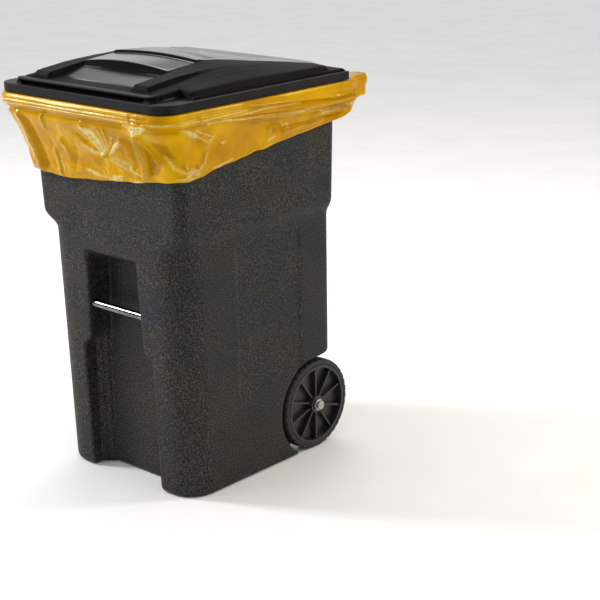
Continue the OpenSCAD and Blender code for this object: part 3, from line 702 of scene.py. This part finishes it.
# Creases with a painted highlight line along them, as (places, width)
PAINTED_HIGHLIGHT_LINES = (
    (((66, 30), (66, 62), (63, 98)), 2.2), (((84, 30), (78, 66), (66, 98)), 2.2),
    (((104, 44), (84, 70), (66, 98)), 1.8),
    (((-18, 80), (20, 92), (62, 105)), 2.0), (((62, 105), (100, 118), (190, 140)), 2.0),
    (CORNER_FOLD, 2.4),
    (((328, 98), (325, 120)), 1.8), (((368, 110), (352, 130)), 1.8),
    (((300, 134), (340, 137), (372, 126)), 2.2),
    (((338, 11), (360, 16), (382, 30), (408, 54)), 2.0),
    (((408, 54), (432, 42), (398, 26), (379, 14)), 2.0),
    (((458, 64), (472, 62)), 2.4), (((-143, 14), (-149, 34), (-155, 54)), 2.2),
    (((-150, 110), (-153, 140), (-158, 178)), 2.0), (((-135, 120), (-140, 170)), 1.6),
    (((-96, 40), (-100, 70)), 1.4),
    (((480, 2), (620, -1), (760, 4)), 1.6), (((420, 6), (600, 14), (780, 30)), 1.8),
    (((-300, -13), (-60, -11), (150, -13)), 1.5), (((-280, -4), (0, -5), (190, -5)), 1.5),
    (((190, -20), (192, -2)), 1.8), (((206, -18), (208, 0)), 1.6),
    (((250, -5), (400, -6), (560, -7)), 1.6), (((424, 124), (500, 112)), 1.8),
    (((684, 44), (694, 58), (706, 50), (722, 66)), 1.8), (((640, 86), (664, 80)), 2.0),
)


def facet(s, v, corners):
    """1 inside a convex facet of the film and 0 outside, soft over a few millimetres."""
    p, q = np.column_stack([s, v]), np.array(corners, float)
    inside = np.full(len(s), 1e9)
    for a, b in zip(q, np.roll(q, -1, 0)):
        out = np.array([b[1] - a[1], a[0] - b[0]]) / np.linalg.norm(b - a)
        turn = np.sign((q.mean(0) - a) @ out)
        inside = np.minimum(inside, turn * ((p - a) @ out))
    return smooth(inside / 5 + 0.5)


def film_painted_light(s, v):
    """How much painted highlight (pale) and how much painted shade (deep) the film takes at each place."""
    pale, deep = 0 * s, 0 * s
    for strength, corners in PAINTED_HIGHLIGHT_FACETS:
        pale = np.maximum(pale, strength * facet(s, v, corners))
    for places, width in PAINTED_HIGHLIGHT_LINES:
        pale = np.maximum(pale, fold_height(s, v, (places, 0.9, width)))
    for strength, corners in PAINTED_SHADE_FACETS:
        deep = np.maximum(deep, strength * facet(s, v, corners))
    return pale, deep


def cuff_outline(spread):
    """Right half of the cuff's outline with its pouch round the handle's end.

    spread is 1 at the rim and 0 at the hem, where the film lies near the body."""
    hw = mix(body_hw(LID_Z - 150) + HEM_OFF_SIDE, RIM_HW + FILM_GAP, spread)
    front = mix(body_front(LID_Z - 200) - HEM_OFF_FRONT, -RIM_HD - FILM_GAP, spread)
    r = mix(CORNER_R + 10, LID_FRONT_R + 1, spread)
    x, end, inside = RIM_HW + FILM_GAP, TUBE_Y + POUCH_BACK, RIM_HD + FILM_GAP
    far, turn = ARM_X[1] + 6.6, ARM_X[0] - 12
    pouch = [(hw, 250), (mix(hw, x, 0.6), 292), (x, RIM_HD), (far, TUBE_Y - 26), (far, end - 16),
             (far - 3, end - 6), (far - 12, end), (turn + 8, end), (turn, end - 8), (turn - 2, TUBE_Y - 29),
             (turn - 20, inside), (turn - 30, inside)]
    return np.concatenate([
        along([(0, front), (hw - r, front)], FILM_COUNTS[0]),
        along(arc(hw - r, front + r, r, -90, 0), FILM_COUNTS[1]),
        along([(hw, front + r), (hw, 250)], FILM_COUNTS[2]),
        along(pouch, FILM_COUNTS[3]),
        along([(turn - 30, inside), (0, inside)], FILM_COUNTS[4], last=True)])


def hem_drop(ring):
    """How far the hem hangs below the lid's lower edge at each point of a ring of the cuff."""
    x, y = ring[:, 0], ring[:, 1]
    front = np.interp(x, *np.array(HEM_FRONT, float).T)
    side = np.interp(y, *np.array(HEM_SIDE, float).T)
    corner = smooth((y + RIM_HD) / LID_FRONT_R)
    drop = mix(front, side + 18 * (x < 0) * (1 - smooth((y + 270) / 300)), corner)
    pouch = (np.abs(x) > ARM_X[0] - 34) & (y > RIM_HD)
    drop = np.where(pouch, mix(*HEM_AT_POUCH, smooth((y - RIM_HD) / (TUBE_Y - RIM_HD))), drop)
    return np.where((np.abs(x) < ARM_X[0] - 10) & (y > RIM_HD - 4), HEM_AT_BACK, drop)


def fold_height(s, v, fold):
    """A fold's rise at the film's places: a crest with hollow flanks that dies out at its ends."""
    places, rise, width = fold
    p = np.column_stack([s, v])
    best = np.full(len(s), 1e9)
    for a, b in zip(np.array(places[:-1], float), np.array(places[1:], float)):
        e = b - a
        t = np.clip(((p - a) @ e) / (e @ e), 0, 1)
        best = np.minimum(best, np.linalg.norm(p - a - t[:, None] * e, axis=1))
    return rise * np.clip(1 - best / (2.2 * width), 0, 1) ** 2.2


def crumple(s, v):
    """Creased thin film: flat facets between sharp folds, from bent zigzag waves of several sizes."""
    local = np.random.default_rng(5)
    flat = np.column_stack([s, v, 0 * s])
    total = 0
    for scale, rise in ((120, 3.2), (86, 3.0), (58, 2.6), (44, 2.2), (31, 1.7), (23, 1.3), (17, 0.9),
                        (12, 0.55)):
        for lean in (-1, 1):
            angle = lean * local.uniform(0.25, 1.05)
            bend = 0.28 * wave_noise(flat, 4.0 * scale, local.integers(1000), 8)
            phase = (s * math.cos(angle) + v * math.sin(angle)) / scale + bend + local.uniform()
            ridge = 1 - 4 * np.abs((phase % 1) - 0.5)
            patch = np.clip(0.45 + 0.75 * wave_noise(flat, 2.2 * scale, local.integers(1000), 8), 0, 1.3)
            total += 0.5 * rise * patch * ridge
    return total


def film_relief(s, v, t):
    """How far the film stands out from its smooth shape."""
    loose = 0.16 + 0.2 * smooth((t - 0.75) / 0.25)
    for at_s, at_v, reach_s, reach_v, strength in CRUMPLED:
        loose = loose + strength * np.exp(-((s - at_s) / reach_s) ** 2 - ((v - at_v) / reach_v) ** 2)
    relief = 0.85 * crumple(s, v) * loose * (0.15 + 0.85 * smooth(v / 24))
    for fold in FRONT_FOLDS + BAND_FOLDS:
        relief += fold_height(s, v, fold)
    for fold in PULL_FOLDS:
        relief += fold_height(np.abs(s), v, fold)
    back = smooth((np.abs(s) - 1080) / 60)
    waves = 4.5 * np.sin(s / 27 + 0.8 * np.sin(s / 61)) * back * smooth(v / 20)
    return relief + waves


def cuff_rings():
    """Rings of the film outside the rim, from its top edge to the hem, with their folds."""
    rim = full_ring(cuff_outline(1.0), 0.0)
    count = len(rim)
    steps = np.linalg.norm(np.diff(rim, axis=0, append=rim[:1]), axis=1)
    s = np.concatenate([[0], np.cumsum(steps)[:-1]])
    s = np.where(s > steps.sum() / 2, s - steps.sum(), s)
    drop = hem_drop(rim)
    for _ in range(14):
        drop = (np.roll(drop, 1) + np.roll(drop, -1) + 2 * drop) / 4
    drop = drop + 0.7 * wave_noise(np.column_stack([s, 0 * s, 0 * s]), 60, 11)
    over = 6 * smooth((rim[:, 1] - LID_HD - 4) / 40)
    band_z = np.linspace(RIM_TOP + 0.5, RIM_LOW, BAND_ROWS)
    rings, painted_light_rows = [], []
    for k in range(BAND_ROWS + HANG_ROWS):
        t = max(0.0, (k - BAND_ROWS + 1) / HANG_ROWS)
        spread = np.interp(t, [0, 0.12, 0.35, 0.7, 1.0], [1.0, 0.87, 0.54, 0.18, 0.0])
        ring = full_ring(cuff_outline(spread), 0.0)
        if t == 0:
            share = (RIM_TOP - band_z[k]) / RIM_H
            bulge = BULGE * math.sin(math.pi * np.clip(share * 0.85 + 0.08, 0, 1))
            ring[:, 2] = band_z[k] + over * (1 - share)
        else:
            bulge = BULGE * math.sin(math.pi * 0.93) * (1 - t)
            ring[:, 2] = mix(RIM_LOW, np.minimum(LID_Z - drop, RIM_LOW - 4), t)
        tangent = np.roll(ring, -1, 0) - np.roll(ring, 1, 0)
        out = np.column_stack([tangent[:, 1], -tangent[:, 0], 0 * s])
        out /= np.linalg.norm(out, axis=1)[:, None]
        v = np.where(t > 0, RIM_LOW - ring[:, 2], RIM_LOW - band_z[min(k, BAND_ROWS - 1)])
        relief = film_relief(s, v, np.full(count, t)) * (1 - 0.7 * smooth((t - 0.92) / 0.08))
        room = mix(0.4, 7.0, smooth(t / 0.08)) * mix(1.0, 1.3, t)
        relief = np.maximum(relief, -room)
        calm = smooth((RIM_TOP - 1 - ring[:, 2] + over) / 5) if t == 0 else 1.0
        ring += out * ((relief * calm + bulge)[:, None])
        rings.append(ring)
        painted_light_rows.append(film_painted_light(s, v))
    return rings, painted_light_rows


def make_liner(material):
    outside, painted_light_rows = cuff_rings()
    count = len(outside[0])
    lip = []
    for inset, z in ((4, RIM_TOP + 1.6), (LIP_IN - 2, RIM_TOP + 1.8), (LIP_IN - 1.4, RIM_TOP + 4),
                     (LIP_IN - 0.6, RIM_TOP + LIP_H), (LIP_IN + 1.5, RIM_TOP + LIP_H + 1.4),
                     (LIP_IN + LIP_T, RIM_TOP + LIP_H + 1.2), (LIP_IN + LIP_T + 1.6, RIM_TOP + LIP_H - 2),
                     (LIP_IN + LIP_T + 3, RIM_TOP - 8), (LIP_IN + LIP_T + 4, RIM_LOW + 8)):
        lip.append(rim_level(inset, z, FILM_COUNTS))
    bag = []
    for z in np.concatenate([np.linspace(RIM_LOW - 8, 640, 25), np.linspace(622, 290, 22),
                             np.linspace(278, 250, 5), np.linspace(235, FLOOR_Z + 10, 12)]):
        rise = 12 if z > 200 else 0
        bag.append(body_level(z, WALL + 9, rise, FILM_COUNTS, bridge=27))
    hub = np.array([0, -20, 0])
    for share in (0.94, 0.8, 0.55, 0.25):
        bag.append(hub + (bag[-1] - hub) * (share, share, 0) + (0, 0, FLOOR_Z + 5))
    bag = relax(np.array([lip[-1], *bag]), 3)[1:]
    z = bag[..., 2]                  # the film clears the ledge inside the front wall
    ledge = body_front(z) + WALL + 3.5 - 6.5 * np.maximum(0, z - RIM_LOW)
    bag[..., 1] = np.maximum(bag[..., 1], ledge)
    grid = np.array(outside[::-1] + lip + list(bag))
    faces = loft_faces(len(grid), count) + cap_faces(len(grid), count)[1:]
    liner = make_piece("liner_bag", grid.reshape(-1, 3), faces, material, "container", outward=False)
    # the film's painted highlight (pale) and painted shade (deep), kept as point attributes
    painted_tone = np.zeros((2, len(grid), count))
    painted_tone[:, :len(painted_light_rows)] = np.array(painted_light_rows[::-1]).transpose(1, 0, 2)
    for name, values in zip(("pale", "deep"), painted_tone):
        liner.data.attributes.new(name, "FLOAT", "POINT").data.foreach_set("value", values.ravel())
    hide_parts("liner")
    return liner


# ------ materials


def new_material(name):
    material = bpy.data.materials.new(name)
    material.use_nodes = True
    return material, material.node_tree, material.node_tree.nodes["Principled BSDF"]


def noise(tree, scale, detail, rough=0.5):
    """The value of a noise texture in the object's own coordinates."""
    place = tree.nodes.get("place") or tree.nodes.new("ShaderNodeTexCoord")
    place.name = "place"
    texture = tree.nodes.new("ShaderNodeTexNoise")
    texture.inputs["Scale"].default_value = scale
    texture.inputs["Detail"].default_value = detail
    texture.inputs["Roughness"].default_value = rough
    tree.links.new(place.outputs["Object"], texture.inputs["Vector"])
    return texture.outputs["Fac"]


def stretch(tree, value, start, end, low, high):
    """A value between start and end, spread from low to high."""
    node = tree.nodes.new("ShaderNodeMapRange")
    for name, number in (("From Min", start), ("From Max", end), ("To Min", low), ("To Max", high)):
        node.inputs[name].default_value = number
    tree.links.new(value, node.inputs["Value"])
    return node.outputs["Result"]


def colour_ramp(tree, value, places, colours):
    """Colours at places along a value."""
    node = tree.nodes.new("ShaderNodeValToRGB")
    while len(node.color_ramp.elements) < len(colours):
        node.color_ramp.elements.new(0.5)
    for element, at, colour in zip(node.color_ramp.elements, places, colours):
        element.position = at
        element.color = (*colour, 1)
    tree.links.new(value, node.inputs["Fac"])
    return node.outputs["Color"]


def grain(tree, value, strength, distance):
    """Gives the shader's surface bumps as high as a value."""
    relief = tree.nodes.new("ShaderNodeBump")
    relief.inputs["Strength"].default_value = strength
    relief.inputs["Distance"].default_value = distance
    tree.links.new(value, relief.inputs["Height"])
    tree.links.new(relief.outputs["Normal"], tree.nodes["Principled BSDF"].inputs["Normal"])


def textured(name, colours, scale, roughness, bump=0.0, bump_scale=400.0, detail=4.0, metallic=0.0,
             positions=(0.35, 0.65), specular=0.5):
    """A material whose colour and roughness vary with noise. colours are two or three RGB values."""
    material, tree, shader = new_material(name)
    links = tree.links
    patches = noise(tree, scale, detail)
    colour = colour_ramp(tree, patches, np.linspace(*positions, len(colours)), colours)
    links.new(colour, shader.inputs["Base Color"])
    links.new(stretch(tree, patches, 0, 1, *roughness), shader.inputs["Roughness"])
    shader.inputs["Metallic"].default_value = metallic
    shader.inputs["Specular IOR Level"].default_value = specular
    if bump:
        grain(tree, noise(tree, bump_scale, 3.0), bump, 0.0006)
    return material


FLECK_GAIN = 7.5                     # how much brighter than the plastic its palest flecks are


def granite():
    """Rough moulded polyethylene: charcoal with fine pale and dark flecks."""
    material, tree, shader = new_material("granite_polyethylene")
    nodes, links = tree.nodes, tree.links
    tint = colour_ramp(tree, noise(tree, 7.0, 3.0), (0.36, 0.66),
                       ((0.0062, 0.0088, 0.0092), (0.0142, 0.0109, 0.0071)))
    flecks = noise(tree, 300.0, 2.0, 0.75)
    spots = colour_ramp(tree, flecks, (0.38, 0.50, 0.64),
                        [(value / FLECK_GAIN,) * 3 for value in (0.05, 0.45, FLECK_GAIN)])
    bright = nodes.new("ShaderNodeVectorMath")
    bright.operation = "SCALE"
    bright.inputs["Scale"].default_value = FLECK_GAIN
    gain = nodes.new("ShaderNodeMix")
    gain.data_type = "RGBA"
    gain.blend_type = "MULTIPLY"
    gain.inputs["Factor"].default_value = 1.0
    links.new(tint, bright.inputs[0])
    links.new(bright.outputs["Vector"], gain.inputs["A"])
    links.new(spots, gain.inputs["B"])
    links.new(gain.outputs["Result"], shader.inputs["Base Color"])
    grain(tree, flecks, 0.35, 0.0008)
    shader.inputs["Roughness"].default_value = 0.6
    shader.inputs["Specular IOR Level"].default_value = 0.3
    return material


def film_material():
    """Thin amber film: clouded, with painted shade where it doubles back and painted highlights on its
    creased facets.
    """
    amber = (0.43, 0.188, 0.0008), (0.565, 0.278, 0.001), (0.70, 0.375, 0.0014)
    material = textured("amber_film", amber, 8.0, (0.10, 0.15), bump=0.03, bump_scale=90.0, detail=3.0,
                        positions=(0.3, 0.7), specular=0.12)
    tree = material.node_tree
    nodes, links = tree.nodes, tree.links
    shader = nodes["Principled BSDF"]
    shader.inputs["Specular Tint"].default_value = (0.42, 1.0, 0.30, 1)
    # noise that breaks up the painted highlights
    highlight_breakup = stretch(tree, noise(tree, 130.0, 3.0), 0.35, 0.55, 0.3, 1)
    colour = shader.inputs["Base Color"].links[0].from_socket
    # deep mixes painted shade into the amber, and pale a painted cream highlight
    for name, tint in (("deep", (0.34, 0.14, 0.0006)), ("pale", (0.82, 0.70, 0.31))):
        shade = nodes.new("ShaderNodeAttribute")
        shade.attribute_name = name
        amount = nodes.new("ShaderNodeMath")
        amount.operation = "MULTIPLY"
        amount.inputs[1].default_value = 0.75
        links.new(shade.outputs["Fac"], amount.inputs[0])
        if name == "pale":
            links.new(highlight_breakup, amount.inputs[1])
        blend = nodes.new("ShaderNodeMix")
        blend.data_type = "RGBA"
        blend.inputs["B"].default_value = (*tint, 1)
        links.new(amount.outputs["Value"], blend.inputs["Factor"])
        links.new(colour, blend.inputs["A"])
        colour = blend.outputs["Result"]
    links.new(colour, shader.inputs["Base Color"])
    return material


def paint(node, material, bevel=0.0006):
    """Gives a CAD node its material and softens its edges."""
    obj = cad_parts[node]
    obj.data.materials.clear()
    obj.data.materials.append(material)
    soft = obj.modifiers.new("edges", "BEVEL")
    soft.width = bevel
    soft.segments = 2
    soft.limit_method = "ANGLE"
    obj.data.shade_smooth()
    obj.data.set_sharp_from_angle(angle=math.radians(35))


# ------ tyres


def make_tyre(side, material):
    """A solid rubber tyre with a grooved tread."""
    wide = TYRE_W / 2
    half = [(wide - 2, TYRE_R - 17), (wide, TYRE_R - 14), (wide, TYRE_R - 7), (wide - 2, TYRE_R - 3),
            (wide - 6, TYRE_R - 1), (wide - 11, TYRE_R - 0.2), (2.6, TYRE_R), (1.6, TYRE_R - 3)]
    profile = [(-x, r) for x, r in half] + half[::-1]
    blocks, per = 36, 8
    count = blocks * per
    angle = np.linspace(0, 2 * math.pi, count, endpoint=False)
    groove = np.isin(np.arange(count) % per, (0, 1))
    rings = []
    for x, r in profile:
        depth = 2.6 if 4 < abs(x) and r > TYRE_R - 4 else 0.0
        radius = r - depth * groove
        rings.append(np.column_stack([np.full(count, side * TYRE_X + x), AXLE_Y + radius * np.cos(angle),
                                      AXLE_Z + radius * np.sin(angle)]))
    name = "right" if side > 0 else "left"
    tyre = make_piece("tread_" + name, np.concatenate(rings), hoop_faces(len(rings), count), material,
                      "wheel_" + name, sharp=30)
    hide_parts("tyre_" + name)
    return tyre


# ------ the object

body_plastic = granite()
lid_plastic = textured("satin_black_plastic", ((0.008, 0.008, 0.0085), (0.013, 0.013, 0.0135)), 60.0,
                       (0.40, 0.50), bump=0.25, bump_scale=900.0, specular=0.14)
lid_satin = textured("grained_black_plastic", ((0.0025,) * 3, (0.0045,) * 3), 60.0, (0.42, 0.52),
                     bump=0.3, bump_scale=900.0, specular=0.03)
lid_gloss = textured("polished_black_plastic", ((0.0105, 0.010, 0.0095), (0.014, 0.0135, 0.013)), 40.0,
                     (0.15, 0.21), bump=0.05, bump_scale=700.0, specular=0.62)
# near-black, matte and barely reflective: painted shade for the lid's recess faces
lid_painted_shade = textured("painted_shade_black_plastic", ((0.0015,) * 3, (0.003,) * 3), 60.0, (0.7, 0.8), specular=0.05)
trim_plastic = textured("black_nylon", ((0.012, 0.012, 0.012), (0.022, 0.022, 0.023)), 120.0, (0.38, 0.5),
                        bump=0.1, bump_scale=800.0)
zinc = textured("bright_zinc_steel", ((0.09, 0.087, 0.08), (0.24, 0.232, 0.22)), 90.0, (0.12, 0.22),
                metallic=1.0, bump=0.08, bump_scale=500.0)
axle_steel = textured("dull_zinc_steel", ((0.36, 0.36, 0.35), (0.55, 0.54, 0.52)), 70.0, (0.3, 0.45),
                      metallic=1.0)
rubber = textured("rubber", ((0.009, 0.009, 0.009), (0.018, 0.018, 0.017)), 80.0, (0.55, 0.75), bump=0.3,
                  bump_scale=700.0)
wheel_plastic = textured("wheel_plastic", ((0.010, 0.010, 0.011), (0.018, 0.018, 0.019)), 90.0,
                         (0.32, 0.44), bump=0.12, bump_scale=900.0)

make_body(body_plastic)
make_lid((lid_plastic, lid_gloss, lid_painted_shade, lid_satin))
make_liner(film_material())
for side in (-1, 1):
    make_tyre(side, rubber)

for hand in ("_left", "_right"):
    for node in ("hinge_sleeve", "bar_bush", "hub_bush", "spacer", "handle_cap"):
        paint(node + hand, trim_plastic)
    for node in ("washer", "axle_cap"):
        paint(node + hand, axle_steel, bevel=0.0003)
    paint("wheel" + hand, wheel_plastic, bevel=0.0012)
paint("handle_tube", trim_plastic)
paint("catch_bar", zinc)
paint("axle", axle_steel)

# ------ camera, light and floor

AZIMUTH, ELEVATION, ROLL = math.radians(42.0819), math.radians(17.5854), math.radians(-0.8790)
DISTANCE, SHIFT_RIGHT, SHIFT_UP = 3885.8, 311.9, -558.7   # from the lid's middle to the camera
LENS, SENSOR = 90.814, 36.0
FLOOR_REACH = 60.0

right = Vector((math.cos(AZIMUTH), math.sin(AZIMUTH), 0))
level = Vector((math.sin(AZIMUTH), -math.cos(AZIMUTH), 0)) * math.cos(ELEVATION)
back = level + Vector((0, 0, math.sin(ELEVATION)))
up = back.cross(right)
spot = back * DISTANCE + right * SHIFT_RIGHT + up * SHIFT_UP + Vector((0, 0, LID_Z))
camera = add_object("camera", bpy.data.cameras.new("camera"))
tilted_right = right * math.cos(ROLL) + up * math.sin(ROLL)
tilted_up = up * math.cos(ROLL) - right * math.sin(ROLL)
turn = Matrix((tilted_right, tilted_up, back)).transposed().to_4x4()
camera.matrix_world = Matrix.Translation(Vector(row_frame([spot])[0])) @ turn
camera.data.lens = LENS
camera.data.sensor_width = SENSOR
camera.data.clip_end = 200
bpy.context.scene.camera = camera


def area_light(name, place, target, size, power, colour=(1, 1, 1)):
    light = bpy.data.lights.new(name, "AREA")
    light.shape = "RECTANGLE"
    light.size, light.size_y = size
    light.energy = power
    light.color = colour
    obj = add_object(name, light)
    obj.location = place
    obj.rotation_euler = (Vector(target) - Vector(place)).to_track_quat("-Z", "Y").to_euler()


area_light("key_light", (-3.0, -1.9, 2.9), (0, 0, 0.8), (0.7, 0.6), 110)
area_light("front_softbox", (-2.0, -3.4, 1.4), (0, 0, 0.95), (0.6, 0.6), 14)
area_light("rear_card", (-2.0, 2.3, 1.65), (0, 0, 1.1), (2.4, 0.9), 5)
area_light("side_light", (2.6, 2.6, 2.6), (0, 0, 0.7), (0.7, 0.7), 62, (1.0, 0.90, 0.72))
area_light("back_softbox", (-2.1, 2.35, 3.7), (0, 0, 1.0), (2.6, 1.4), 30)

world = bpy.data.worlds.new("studio")
bpy.context.scene.world = world
world.use_nodes = True
sky, tie = world.node_tree.nodes, world.node_tree.links
aim = sky.new("ShaderNodeTexCoord")
parts = sky.new("ShaderNodeSeparateXYZ")
tie.new(aim.outputs["Generated"], parts.inputs["Vector"])
fade = stretch(world.node_tree, parts.outputs["Z"], 0, 0.9, 0.20, 0.95)
tie.new(fade, sky["Background"].inputs["Strength"])
sky["Background"].inputs["Color"].default_value = (1, 1, 1, 1)
bpy.context.scene.view_settings.view_transform = "Standard"

floor_mesh = bpy.data.meshes.new("floor")
corners = [(x * FLOOR_REACH, y * FLOOR_REACH, 0) for x, y in ((-1, -1), (1, -1), (1, 1), (-1, 1))]
floor_mesh.from_pydata(corners, [], [(0, 1, 2, 3)])
floor = add_object("floor", floor_mesh)
floor_mesh.materials.append(textured("pale_floor", ((0.90,) * 3, (0.93,) * 3), 3.0, (0.8, 0.9)))
